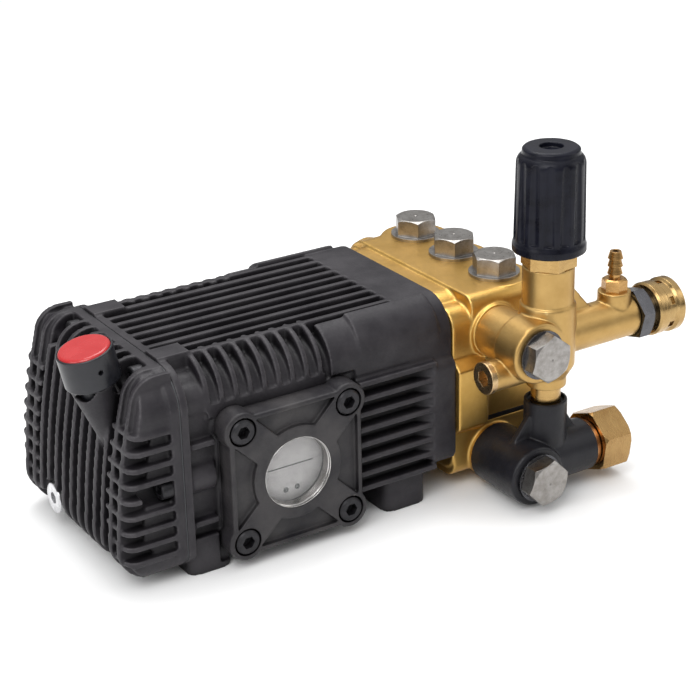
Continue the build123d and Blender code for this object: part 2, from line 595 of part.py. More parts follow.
def valve_plug(turn, depth, spigot):
    """Hexagon plug with a collar, built along +Z with the collar's seat at Z = 0."""
    height = PLUG_TOP_Z - PLUG_COLLAR_Z
    shape = Cylinder(13.7, 1.7, align=HERE) + hex_head("Z", PLUG_AF, height, 0, 0, 0, turn)
    shape += Cylinder(11.9, depth, align=UNDER) + Cylinder(6.0, depth + spigot, align=UNDER)
    shape -= Pos(0, 0, height - 0.6) * Cone(0.1, 1.3, 1.0, align=HERE)
    return shape - Pos(0, 0, -5.2) * (Cylinder(13, 2.6, align=HERE) - Cylinder(9.8, 2.6, align=HERE))


# ---- unloader, outlet and inlet -------------------------------------------------------------------
def unloader_body():
    ring = bar("-Y", 16.3, RING_FAR - BANJO_NEAR, GALLERY_X, RING_FAR, DISCHARGE_Z)
    shape = fillet(ring.edges().filter_by(GeomType.CIRCLE), 1.5)
    shape += bar("-Y", 14.1, HEAD_NEAR - RING_FAR + 2, GALLERY_X, HEAD_NEAR, DISCHARGE_Z)
    tower = make_face(
        Polyline((0, 17), (10.6, 17), (10.6, 22), (14.6, 29), (14.6, 62.0))
        + ThreePointArc((14.6, 62.0), (14.3, 62.7), (13.6, 63.0))
        + Polyline((13.6, 63.0), (13.4, 63.0), (13.4, TOWER_TOP), (0, TOWER_TOP), (0, 17))
    )
    shape += Pos(TOWER_X, TOWER_Y, 0) * revolve(Plane.XZ * tower, Axis.Z)
    shape += soft_bar("X", 11.3, ARM_END - TOWER_X, 0.6, TOWER_X, TOWER_Y, ARM_Z)
    shape += bar("X", 8.2, TOWER_X - 100, 104, TOWER_Y, 30)
    gusset = Polyline((TOWER_X, ARM_Z), (TOWER_X, 68), (TOWER_X + 15, 68), (TOWER_X + 29, ARM_Z + 9))
    gusset = make_face(gusset + Line((TOWER_X + 29, ARM_Z + 9), (TOWER_X, ARM_Z)))
    shape += along_y(gusset, TOWER_Y - 1.7, TOWER_Y + 1.7)
    shape += bar("Z", 8.8, 16, BARB_X, TOWER_Y, ARM_Z)
    # passages
    shape -= bar("-Y", 8.6, 50, GALLERY_X, HEAD_NEAR + 1, DISCHARGE_Z)
    shape -= bar("Z", 9.4, TOWER_TOP - 35, TOWER_X, TOWER_Y, 36)
    shape -= bar("Z", 5.0 + FIT, 20, TOWER_X, TOWER_Y, 25)
    shape -= bar("Z", 7.85, 9.5, TOWER_X, TOWER_Y, 16)
    shape -= bar("X", 6.5, 60, TOWER_X, TOWER_Y, ARM_Z)
    shape -= bar("X", 5.0, 32, 103, TOWER_Y, 30)
    shape -= bar("Z", 3.5, 30, BARB_X, TOWER_Y, ARM_Z)
    return shape


def unloader_gland_nut():
    shape = hex_head("Z", 25, 8.2, TOWER_X, TOWER_Y, TOWER_TOP, 12)
    shape += bar("Z", 9.35, 10, TOWER_X, TOWER_Y, TOWER_TOP - 9.5)
    return shape - bar("Z", 4.0 + FIT, 40, TOWER_X, TOWER_Y, TOWER_TOP - 20)


def unloader_knob():
    """Fluted knob with a flared foot and a recess in its top, hollow underneath."""
    profile = make_face(
        Polyline((0, 0), (18.9, 0), (18.9, 3.6), (18.2, 5.6), (17.5, 45.5))
        + ThreePointArc((17.5, 45.5), (16.8, 48.3), (14.8, 50.3))
        + Polyline((14.8, 50.3), (14.6, 52.9), (13.2, 54.0), (0, 54.0), (0, 0))
    )
    shape = revolve(Plane.XZ * profile, Axis.Z)
    for step in range(14):
        flute = Pos(20.1, 0, 6.5) * Cylinder(3.4, 44, align=HERE)
        shape -= Rot(0, 0, step * 360 / 14) * flute
    shape -= Pos(0, 0, 51.2) * Cylinder(6.0, 5, align=HERE)
    shape -= Pos(0, 0, -1) * Cylinder(15.2, 9, align=HERE)
    shape -= Pos(0, 0, -1) * Cylinder(4.0 + FIT, 42, align=HERE)
    return Pos(TOWER_X, TOWER_Y, KNOB_BASE) * shape


def unloader_stem():
    """Stem that the knob turns on, with the spring plate at its lower end."""
    return bar("Z", 4.0, KNOB_BASE - 18, TOWER_X, TOWER_Y, 58) + bar("Z", 7.6, 3, TOWER_X, TOWER_Y, 57.4)


def unloader_piston():
    return bar("Z", 5.0, 16, TOWER_X, TOWER_Y, 27.5) + bar("Z", 7.1, 3, TOWER_X, TOWER_Y, 36.5)


def banjo_bolts():
    """Two hollow bolts that hold the unloader and the inlet block to the manifold."""
    bolts = []
    for z, head, turn in ((DISCHARGE_Z, 8.0, 22), (INTAKE_Z, 8.5, 14)):
        start = BANJO_NEAR - 1.5
        bolt = hex_head("-Y", 22, head, GALLERY_X, start, z, turn)
        bolt += bar("Y", 7.95, 52, GALLERY_X, start, z)
        bolt -= bar("Y", 5.0, 44, GALLERY_X, start + 9, z)
        bolt -= bar("X", 2.5, 30, GALLERY_X - 15, TOWER_Y, z)
        bolt -= aim(Cone(0.1, 1.3, 1.0, align=HERE), "-Y", GALLERY_X, start - head + 0.6, z)
        bolts.append(bolt)
    return bolts


def bypass_tube():
    return tube("Z", 7.8, 5.5, 31, TOWER_X, TOWER_Y, -6)


def gallery_plugs():
    """Hexagon socket plugs: the unloader's port and the far ends of the two galleries."""
    def plug(thread):
        shape = Pos(0, 0, -8) * Cylinder(thread, 8, align=HERE) + Cylinder(8.6, 3.2, align=HERE)
        shape = fillet(shape.edges().filter_by(GeomType.CIRCLE).sort_by(Axis.Z)[-1], 0.6)
        return shape - Pos(0, 0, -2) * extrude(RegularPolygon(8 / math.sqrt(3), 6), 8)
    return [
        aim(plug(4.95), "-X", 104, TOWER_Y, 30),
        aim(plug(7.95), "Y", GALLERY_X, MID + 63, DISCHARGE_Z),
        aim(plug(7.95), "Y", GALLERY_X, MID + 63, INTAKE_Z),
    ]


def injector_barb():
    shape = hex_head("Z", 12, 7, BARB_X, TOWER_Y, ARM_Z + 16, 10)
    shape += bar("Z", 3.45, 12, BARB_X, TOWER_Y, ARM_Z + 5) + bar("Z", 3.0, 15.5, BARB_X, TOWER_Y, ARM_Z + 22)
    for step in range(3):
        shape += Pos(BARB_X, TOWER_Y, ARM_Z + 25.5 + 4.2 * step) * Cone(4.1, 3.0, 3.8, align=HERE)
    return shape - bar("Z", 1.6, 60, BARB_X, TOWER_Y, ARM_Z)


def coupler_body():
    """Hexagon adaptor, and the barrel that screws on it and carries the sleeve."""
    adaptor = hex_head("X", 25, COUPLER_HEX, ARM_END, TOWER_Y, ARM_Z, 15)
    adaptor += bar("X", 6.4, 8, ARM_END - 6, TOWER_Y, ARM_Z)
    adaptor -= bar("X", 4.0, 60, ARM_END - 12, TOWER_Y, ARM_Z)
    return [adaptor, tube("X", BARREL_R, 8.0, BARREL_LENGTH, ARM_END + COUPLER_HEX, TOWER_Y, ARM_Z)]


def coupler_sleeve():
    """Smooth sliding sleeve with a groove and six small windows."""
    length = BARREL_LENGTH - 3.1
    profile = make_face(
        Polyline((BARREL_R + FIT, 0), (13.4, 0), (14.5, 1.1), (14.5, 6.2), (13.6, 7.1), (13.6, 11.2))
        + Polyline((13.6, 11.2), (14.9, 12.5), (14.9, length - 1.4), (13.5, length), (BARREL_R + FIT, length))
        + Line((BARREL_R + FIT, length), (BARREL_R + FIT, 0))
    )
    shape = revolve(Plane.XZ * profile, Axis.Z)
    for step in range(6):
        shape -= Rot(0, 0, 60 * step) * Pos(13.7, 0, 9.15) * Box(3.0, 4.2, 3.0)
    return aim(shape, "X", ARM_END + COUPLER_HEX + 3.1, TOWER_Y, ARM_Z)


def inlet_body():
    ring = soft_bar("-Y", 16.4, HEAD_NEAR - BANJO_NEAR, 1.8, GALLERY_X, HEAD_NEAR, INTAKE_Z)
    shape = ring + bar("X", 14.2, INLET_END - GALLERY_X, GALLERY_X, TOWER_Y, HOSE_Z)
    shape += bar("Z", 11.4, 34, TOWER_X, TOWER_Y, -25)
    web = make_face(Polyline((GALLERY_X - 12, INTAKE_Z + 8), (TOWER_X - 8, 6), (TOWER_X, 6), (TOWER_X, -25),
                             (GALLERY_X - 12, INTAKE_Z + 8)))
    shape += along_y(web, TOWER_Y - 2, TOWER_Y + 2)
    web = make_face(Polyline((TOWER_X, 4), (TOWER_X + 9, 4), (INLET_END - 5, HOSE_Z + 10), (TOWER_X, HOSE_Z),
                             (TOWER_X, 4)))
    shape += along_y(web, TOWER_Y - 2, TOWER_Y + 2)
    shape -= bar("-Y", 8.6, 50, GALLERY_X, HEAD_NEAR + 1, INTAKE_Z)
    shape -= bar("Z", 7.85, 20, TOWER_X, TOWER_Y, -7)
    shape -= bar("Z", 9.8, 3, TOWER_X, TOWER_Y, 7.2)
    shape -= bar("Z", 5.0, 30, TOWER_X, TOWER_Y, -26)
    return shape - bar("X", 9.2, 60, TOWER_X - 12, TOWER_Y, HOSE_Z)


def hose_tailpiece():
    """Brass tail that the swivel nut turns on, with its shoulder and retaining flange."""
    shape = bar("X", 9.15, 12, INLET_END - 10, TOWER_Y, HOSE_Z) + bar("X", 13.0, 2.6, INLET_END, TOWER_Y, HOSE_Z)
    shape += bar("X", 10.4, 8, INLET_END, TOWER_Y, HOSE_Z) + bar("X", 12.4, 1.6, NUT_BACK + 3.5, TOWER_Y, HOSE_Z)
    return shape - bar("X", 7.5, 40, INLET_END - 12, TOWER_Y, HOSE_Z)


def hose_swivel_nut():
    """Hexagon nut for a 3/4 inch garden hose, open towards +X."""
    shape = hex_head("X", 31, NUT_LENGTH, NUT_BACK, TOWER_Y, HOSE_Z, 8)
    back = Cylinder(31 / math.sqrt(3), NUT_LENGTH, align=HERE)
    back = chamfer(back.edges().filter_by(GeomType.CIRCLE).sort_by(Axis.Z)[0], 1.9, 1.2)
    shape &= aim(back, "X", NUT_BACK, TOWER_Y, HOSE_Z)
    shape -= bar("X", 13.1, 20, NUT_BACK + 3.2, TOWER_Y, HOSE_Z)
    shape -= bar("X", 13.6, 4.6, NUT_BACK + 3.2, TOWER_Y, HOSE_Z)
    return shape - bar("X", 10.4 + FIT, 30, NUT_BACK - 2, TOWER_Y, HOSE_Z)


def inlet_screen():
    ring = tube("X", 12.4, 7.0, 2.0, NUT_BACK + 5.1, TOWER_Y, HOSE_Z)
    mesh = bar("X", 7.0, 0.6, NUT_BACK + 5.1, TOWER_Y, HOSE_Z)
    for u in range(-2, 3):
        for v in range(-2, 3):
            if math.hypot(u, v) < 2.6:
                mesh -= bar("X", 0.9, 3, NUT_BACK + 4, TOWER_Y + 2.6 * u, HOSE_Z + 2.6 * v)
    return ring + mesh


# ---- small static sets -----------------------------------------------------------------------------
def sealing_washers():
    rings = [tube("-Y", 13.0, 8.1, 1.5, GALLERY_X, BANJO_NEAR, z) for z in (DISCHARGE_Z, INTAKE_Z)]
    return rings


def o_rings():
    rings = [torus_ring("Y", 34.7, 1.15, 0, MID - COVER_BACK - 1.2, 0)]
    for y in CENTRES:
        rings.append(torus_ring("Z", 10.9, 1.0, VALVE_X, y, PLUG_COLLAR_Z - 3.9))
        rings.append(torus_ring("X", 10.9, 1.0, MANIFOLD_FRONT - 3.9, y, SUCTION_Z))
    return rings


# ---- write every node ------------------------------------------------------------------------------
def as_solids(shape):
    """One shape from a shape or a list of shapes, each kept as its own solid."""
    parts = shape if isinstance(shape, (list, tuple)) else [shape]
    found = []
    for part in parts:
        found += part.solids()
    return found[0] if len(found) == 1 else Compound(children=found)


def build():
    nodes = {
        "crankcase": crankcase(),
        "rear_cover": rear_cover(),
        "rear_cover_gasket": rear_cover_gasket(),
        "rear_cover_screws": rear_cover_screws(),
        "bearing_cover": bearing_cover(),
        "bearing_cover_screws": bearing_cover_screws(),
        "drain_plug": drain_plug(),
        "oil_filler_cap": oil_filler_cap(),
        "oil_cap_insert": oil_cap_insert(),
        "crankshaft": crankshaft(),
        "shaft_oil_seal": tube("-Y", BEARING_R, SHAFT_R + FIT, 7, 0, MID + ENGINE_FACE - 13, 0),
        "manifold": manifold(),
        "manifold_bolts": manifold_bolts(),
        "unloader_body": unloader_body(),
        "unloader_gland_nut": unloader_gland_nut(),
        "unloader_knob": unloader_knob(),
        "unloader_stem": unloader_stem(),
        "unloader_spring": Pos(TOWER_X, TOWER_Y, 0) * coil(6.0, 1.0, 4, 39.6, 57.3),
        "unloader_piston": unloader_piston(),
        "banjo_bolts": banjo_bolts(),
        "bypass_tube": bypass_tube(),
        "gallery_plugs": gallery_plugs(),
        "injector_barb": injector_barb(),
        "coupler_body": coupler_body(),
        "coupler_sleeve": coupler_sleeve(),
        "inlet_body": inlet_body(),
        "hose_tailpiece": hose_tailpiece(),
        "hose_swivel_nut": hose_swivel_nut(),
        "inlet_screen": inlet_screen(),
        "sealing_washers": sealing_washers(),
        "o_rings": o_rings(),
    }
    nodes["sight_glass_reflector"], nodes["sight_glass"], nodes["sight_glass_bezel"] = sight_glass_parts()
    nodes["bearing_outer_rings"], nodes["bearing_inner_rings"], nodes["bearing_balls"] = bearing_rings()
    nodes["high_pressure_packings"], nodes["packing_retainers"], nodes["plunger_oil_seals"] = packings()
    seats, cages, springs = [], [], []
    seat, poppet, cage, spring = valve_set(0)
    for number, (y, angle) in enumerate(zip(CENTRES, CRANK_ANGLES), start=1):
        nodes[f"connecting_rod_{number}"] = connecting_rod(y, angle)
        nodes[f"plunger_guide_{number}"] = plunger_guide(y, angle)
        nodes[f"plunger_{number}"] = plunger(y, angle)
        for kind, place in (
            ("discharge", Pos(VALVE_X, y, 18)),
            ("suction", Pos(138, y, SUCTION_Z) * FACING["X"]),
        ):
            nodes[f"{kind}_valve_{number}"] = place * poppet
            seats.append(place * seat)
            cages.append(place * cage)
            springs.append(place * spring)
    nodes["valve_seats"] = seats
    nodes["valve_cages"] = cages
    nodes["valve_springs"] = springs
    turns = (2, -3, 5)
    nodes["discharge_valve_plugs"] = [
        Pos(VALVE_X, y, PLUG_COLLAR_Z) * valve_plug(turn, 14, 11.9) for y, turn in zip(CENTRES, turns)
    ]
    nodes["suction_valve_plugs"] = [
        aim(valve_plug(turn, 6.9, 0), "X", MANIFOLD_FRONT, y, SUCTION_Z) for y, turn in zip(CENTRES, turns)
    ]
    return nodes


def main():
    os.makedirs("parts", exist_ok=True)
    for name, shape in build().items():
        export_step(as_solids(shape), f"parts/{name}.step")
        print(name)


main()
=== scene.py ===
import json
import math

import bmesh
import bpy
import numpy as np
from mathutils import Matrix, Vector


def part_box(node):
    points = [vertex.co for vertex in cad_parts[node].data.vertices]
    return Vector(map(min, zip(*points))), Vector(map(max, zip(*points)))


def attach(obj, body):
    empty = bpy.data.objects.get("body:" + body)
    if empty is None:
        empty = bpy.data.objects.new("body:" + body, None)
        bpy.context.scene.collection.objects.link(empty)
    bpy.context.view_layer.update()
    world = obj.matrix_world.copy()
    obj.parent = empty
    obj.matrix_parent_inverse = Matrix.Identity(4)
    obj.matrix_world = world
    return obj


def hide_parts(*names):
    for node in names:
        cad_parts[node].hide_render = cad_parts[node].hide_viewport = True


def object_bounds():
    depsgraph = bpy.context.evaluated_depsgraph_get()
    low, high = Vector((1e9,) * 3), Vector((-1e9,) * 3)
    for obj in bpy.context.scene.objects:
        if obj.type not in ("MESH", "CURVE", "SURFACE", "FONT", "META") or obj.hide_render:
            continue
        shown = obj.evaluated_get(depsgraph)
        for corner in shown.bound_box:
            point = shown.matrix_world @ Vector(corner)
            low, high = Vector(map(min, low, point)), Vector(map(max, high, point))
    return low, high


# Looks of a direct-drive triplex plunger pump. Metres; same frame as the CAD.

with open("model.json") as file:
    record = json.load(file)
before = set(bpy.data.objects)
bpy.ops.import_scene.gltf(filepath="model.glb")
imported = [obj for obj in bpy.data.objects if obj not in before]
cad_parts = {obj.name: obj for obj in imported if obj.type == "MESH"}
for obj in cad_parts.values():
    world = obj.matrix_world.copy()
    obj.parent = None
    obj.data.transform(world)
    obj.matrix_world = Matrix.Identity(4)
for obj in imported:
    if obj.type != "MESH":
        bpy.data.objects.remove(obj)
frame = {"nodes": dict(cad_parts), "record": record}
cad_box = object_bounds()
nodes = frame["nodes"]

MM = 0.001
MID = -0.081                                   # middle plane of the crankcase
PLUNGER_PITCH = 0.0367                         # between the three plunger axes
TOWER_X = 0.1414                               # upright axis of the unloader and of the inlet block
TOWER_Y = -0.1656
BANJO_X = 0.126                                # axes of the two banjo bolts
DELIVERY_BANJO_Z = 0.0425
SUCTION_BANJO_Z = -0.027
SEAT_Y = -0.1442                               # faces nearer the manifold than this are machined
WHITE = (1.0, 1.0, 1.0, 1.0)


# ---- node graphs --------------------------------------------------------------------------------
RANGE_SOCKETS = ("From Min", "From Max", "To Min", "To Max")


class Graph:
    """One procedural material, built a node at a time."""

    def __init__(self, name):
        self.material = bpy.data.materials.new(name)
        self.material.use_nodes = True
        self.tree = self.material.node_tree
        self.shader = self.tree.nodes["Principled BSDF"]
        self.place = self.add("ShaderNodeTexCoord").outputs["Object"]

    def add(self, kind, **values):
        node = self.tree.nodes.new(kind)
        for key, value in values.items():
            if hasattr(value, "is_output"):
                self.tree.links.new(value, node.inputs[key.replace("_", " ")])
            elif key in node.bl_rna.properties:
                setattr(node, key, value)
            else:
                node.inputs[key.replace("_", " ")].default_value = value
        return node

    def link(self, output, socket):
        self.tree.links.new(output, self.shader.inputs[socket])

    def gloss(self, value, low, high, smooth, matt):
        """Roughness from smooth to matt while the value goes from low to high."""
        self.link(self.span(value, low, high, smooth, matt), "Roughness")

    def fix(self, **values):
        for key, value in values.items():
            self.shader.inputs[key.replace("_", " ")].default_value = value

    def noise(self, size, detail=3.0, rough=0.5, place=None):
        """Noise from 0 to 1 whose features are about size metres across."""
        return self.add("ShaderNodeTexNoise", Vector=place or self.place, Scale=1.0 / size,
                        Detail=detail, Roughness=rough).outputs["Fac"]

    def span(self, value, low, high, to_low=0.0, to_high=1.0):
        node = self.add("ShaderNodeMapRange", Value=value)
        for key, number in zip(RANGE_SOCKETS, (low, high, to_low, to_high)):
            node.inputs[key].default_value = number
        return node.outputs["Result"]

    def math(self, operation, a, b):
        node = self.add("ShaderNodeMath", operation=operation)
        for socket, value in zip(node.inputs, (a, b)):
            if hasattr(value, "is_output"):
                self.tree.links.new(value, socket)
            else:
                socket.default_value = value
        return node.outputs[0]

    def mix(self, amount, a, b):
        """Colour mix; a and b are colours or outputs."""
        node = self.add("ShaderNodeMix", data_type="RGBA")
        for index, value in ((0, amount), (6, a), (7, b)):
            if hasattr(value, "is_output"):
                self.tree.links.new(value, node.inputs[index])
            else:
                node.inputs[index].default_value = value if index == 0 else (*value, 1.0)
        return node.outputs[2]

    def rounded(self, radius):
        """The normal of the same surface with its edges rounded to that radius."""
        return self.add("ShaderNodeBevel", samples=6, Radius=radius).outputs["Normal"]

    def edges(self, radius):
        """0 on flat faces, towards 1 close to an edge."""
        soft = self.rounded(radius)
        true = self.add("ShaderNodeNewGeometry").outputs["Normal"]
        dot = self.add("ShaderNodeVectorMath", operation="DOT_PRODUCT")
        self.tree.links.new(soft, dot.inputs[0])
        self.tree.links.new(true, dot.inputs[1])
        return self.span(dot.outputs["Value"], 1.0, 0.8)

    def convex(self, low=0.52, high=0.62):
        """Towards 1 on convex edges of a dense mesh."""
        return self.span(self.add("ShaderNodeNewGeometry").outputs["Pointiness"], low, high)

    def hollow(self, low=0.47, high=0.40):
        """Towards 1 in concave corners of a dense mesh."""
        return self.span(self.add("ShaderNodeNewGeometry").outputs["Pointiness"], low, high)

    def open_air(self, reach):
        """1 in the open, towards 0 deep in gaps and corners no wider than the reach."""
        return self.add("ShaderNodeAmbientOcclusion", samples=4, Distance=reach).outputs["AO"]

    def relief(self, height, depth, rounding=0.0):
        """Bump of that depth in metres, on top of slightly rounded edges."""
        node = self.add("ShaderNodeBump", Height=height, Distance=depth, Strength=1.0)
        if rounding:
            self.tree.links.new(self.rounded(rounding), node.inputs["Normal"])
        self.link(node.outputs["Normal"], "Normal")


def rings(graph, axis, centre):
    """A place that only changes along an axis and with the distance from it: turning marks."""
    shifted = graph.add("ShaderNodeVectorMath", operation="SUBTRACT")
    graph.tree.links.new(graph.place, shifted.inputs[0])
    shifted.inputs[1].default_value = centre
    parts = graph.add("ShaderNodeSeparateXYZ", Vector=shifted.outputs["Vector"])
    along = parts.outputs["XYZ".index(axis)]
    across = [parts.outputs[i] for i in range(3) if "XYZ"[i] != axis]
    squares = [graph.math("MULTIPLY", part, part) for part in across]
    radius = graph.math("SQRT", graph.math("ADD", squares[0], squares[1]), 0.0)
    return graph.add("ShaderNodeCombineXYZ", X=along, Y=radius).outputs["Vector"]


# ---- materials ----------------------------------------------------------------------------------
def cast_paint(name, deep, light, rough=0.48, edge_wear_and_highlight=0.35, tips=(0.53, 0.60), shine=0.3):
    """Satin paint over sand-cast alloy: fine grain, faint mottling, convex edges lighter (partly rubbed wear,
    partly a painted highlight) and painted shade deep in gaps.
    """
    g = Graph(name)
    grain = g.noise(0.45 * MM, 4.0, 0.6)
    pores = g.noise(1.6 * MM, 3.0, 0.55)
    patches = g.noise(22 * MM, 4.0, 0.6)
    colour = g.mix(g.span(patches, 0.35, 0.65), deep, [0.8 * a + 0.2 * b for a, b in zip(deep, light)])
    edge = g.convex(*tips)
    # Convex edges lighter: partly rubbed wear, partly a painted highlight along the fin edges.
    wear_and_highlight_mask = g.math("MULTIPLY", edge, g.span(g.noise(3.5 * MM, 5.0, 0.65), 0.35, 0.65, 0.25, 1.0))
    colour = g.mix(g.math("MULTIPLY", wear_and_highlight_mask, edge_wear_and_highlight), colour, light)
    # Painted shade: the colour darkens towards a quarter of the paint tone deep in gaps and corners, where
    # shade falls.
    colour = g.mix(g.span(g.open_air(9 * MM), 0.25, 0.80), [0.25 * c for c in deep], colour)
    g.link(colour, "Base Color")
    g.gloss(g.math("ADD", pores, g.math("MULTIPLY", patches, 0.5)), 0.5, 1.0, rough - 0.05, rough + 0.1)
    g.relief(g.math("ADD", grain, g.math("MULTIPLY", pores, 1.6)), 0.055 * MM)
    g.fix(Specular_IOR_Level=shine)
    return g.material


def cast_brass(name, dull, rich):
    """Blasted brass casting: fine matt grain, fillets painted brighter as a highlight, browner patches."""
    g = Graph(name)
    grain = g.noise(0.30 * MM, 3.0, 0.6)
    pores = g.noise(1.3 * MM, 3.0, 0.55)
    patches = g.noise(16 * MM, 4.0, 0.6)
    colour = g.mix(g.span(patches, 0.33, 0.67), dull, rich)
    # Painted highlight: concave fillets get a brighter, richer brass colour, standing in for light caught
    # there.
    colour = g.mix(g.math("MULTIPLY", g.hollow(0.49, 0.44), 0.5), colour, (0.68, 0.45, 0.16))
    colour = g.mix(g.math("MULTIPLY", g.convex(0.52, 0.58), 0.45), colour, (0.80, 0.60, 0.28))
    g.link(colour, "Base Color")
    g.gloss(g.math("ADD", grain, pores), 0.7, 1.3, 0.33, 0.47)
    g.relief(g.math("ADD", grain, g.math("MULTIPLY", pores, 1.8)), 0.045 * MM)
    g.fix(Metallic=1.0)
    return g.material


def turned_metal(name, axis, centre, colour, dark, rough=0.24, marks=0.012):
    """Metal turned about an axis: fine tool rings, tarnish in patches, bright edges."""
    g = Graph(name)
    ring_place = rings(g, axis, centre)
    tool = g.noise(0.16 * MM, 2.0, 0.6, ring_place)
    wide = g.noise(1.1 * MM, 2.0, 0.5, ring_place)
    stains = g.noise(7 * MM, 5.0, 0.65)
    tone = g.mix(g.math("MULTIPLY", g.span(stains, 0.4, 0.7), 0.4), colour, dark)
    tone = g.mix(g.math("MULTIPLY", g.edges(0.5 * MM), 0.4), tone, [min(1.0, 1.25 * c) for c in colour])
    g.link(tone, "Base Color")
    g.gloss(g.math("ADD", wide, g.math("MULTIPLY", stains, 0.6)), 0.5, 1.1, rough - 0.05, rough + 0.14)
    g.relief(g.math("ADD", tool, g.math("MULTIPLY", wide, 0.6)), marks * MM, 0.3 * MM)
    g.fix(Metallic=1.0)
    return g.material


def milled_steel(name, colour, dark, rough=0.28, metallic=1.0):
    """Zinc-grey steel hexagon: scuffs in every direction and dark stains near edges."""
    g = Graph(name)
    stretched = g.add("ShaderNodeMapping", Vector=g.place)
    stretched.inputs["Scale"].default_value = (1.0, 1.0, 9.0)
    scuffs = g.noise(1.2 * MM, 5.0, 0.7, stretched.outputs["Vector"])
    stains = g.noise(5 * MM, 5.0, 0.65)
    tone = g.mix(g.span(stains, 0.38, 0.70), colour, dark)
    tone = g.mix(g.math("MULTIPLY", g.edges(0.6 * MM), 0.55), tone, [min(1.0, 1.35 * c) for c in colour])
    g.link(tone, "Base Color")
    g.gloss(scuffs, 0.3, 0.7, rough - 0.06, rough + 0.18)
    g.relief(scuffs, 0.02 * MM, 0.35 * MM)
    g.fix(Metallic=metallic)
    return g.material


def moulded(name, colour, light, rough=0.42, coat=0.0, grain=0.02, shine=0.5):
    """Moulded plastic: fine spark-eroded grain, slight sheen changes and rubbed edges."""
    g = Graph(name)
    fine = g.noise(0.22 * MM, 2.0, 0.5)
    flow = g.noise(9 * MM, 3.0, 0.5)
    tone = g.mix(g.span(flow, 0.3, 0.7), colour, [0.7 * a + 0.3 * b for a, b in zip(colour, light)])
    tone = g.mix(g.math("MULTIPLY", g.edges(0.7 * MM), 0.30), tone, light)
    g.link(tone, "Base Color")
    g.gloss(g.math("ADD", flow, g.math("MULTIPLY", fine, 0.5)), 0.5, 1.0, rough - 0.05, rough + 0.08)
    g.relief(fine, grain * MM, 0.4 * MM)
    g.fix(Coat_Weight=coat, Coat_Roughness=0.08, Specular_IOR_Level=shine)
    return g.material


def rubbery(name, colour):
    g = Graph(name)
    fine = g.noise(0.3 * MM, 3.0, 0.6)
    tone = g.mix(g.noise(6 * MM, 4.0, 0.6), colour, [c * 1.6 + 0.01 for c in colour])
    g.link(tone, "Base Color")
    g.gloss(fine, 0.3, 0.7, 0.62, 0.8)
    g.relief(fine, 0.03 * MM)
    return g.material


def clear_glass(name):
    """Clear window: mostly see-through, with a faint smeared gloss."""
    g = Graph(name)
    smears = g.noise(6 * MM, 4.0, 0.6)
    g.gloss(smears, 0.35, 0.7, 0.04, 0.16)
    g.link(g.mix(smears, (0.78, 0.80, 0.80), (0.88, 0.89, 0.88)), "Base Color")
    g.fix(Alpha=0.10, IOR=1.45)
    return g.material


def disc_silver(name, centre):
    """Spun aluminium disc behind the sight glass."""
    g = Graph(name)
    ring_place = rings(g, "Y", centre)
    tool = g.noise(0.12 * MM, 2.0, 0.6, ring_place)
    haze = g.noise(4 * MM, 4.0, 0.6)
    g.link(g.mix(g.span(haze, 0.35, 0.65), (0.30, 0.285, 0.285), (0.38, 0.365, 0.36)), "Base Color")
    g.gloss(tool, 0.3, 0.7, 0.42, 0.58)
    g.relief(tool, 0.001 * MM)
    g.fix(Metallic=0.3)
    return g.material


def middle(node):
    low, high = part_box(node)
    return (low + high) / 2


CHARCOAL = (0.0125, 0.0108, 0.0140)
CHARCOAL_LIGHT = (0.105, 0.098, 0.105)
STEEL = (0.34, 0.325, 0.31)
STEEL_DARK = (0.21, 0.195, 0.18)
BRASS_DARK = (0.27, 0.150, 0.050)

tower = middle("unloader_knob")
hose = middle("hose_swivel_nut")
arm = middle("coupler_body")
window = middle("sight_glass")
shaft = Vector((0, MID, 0))

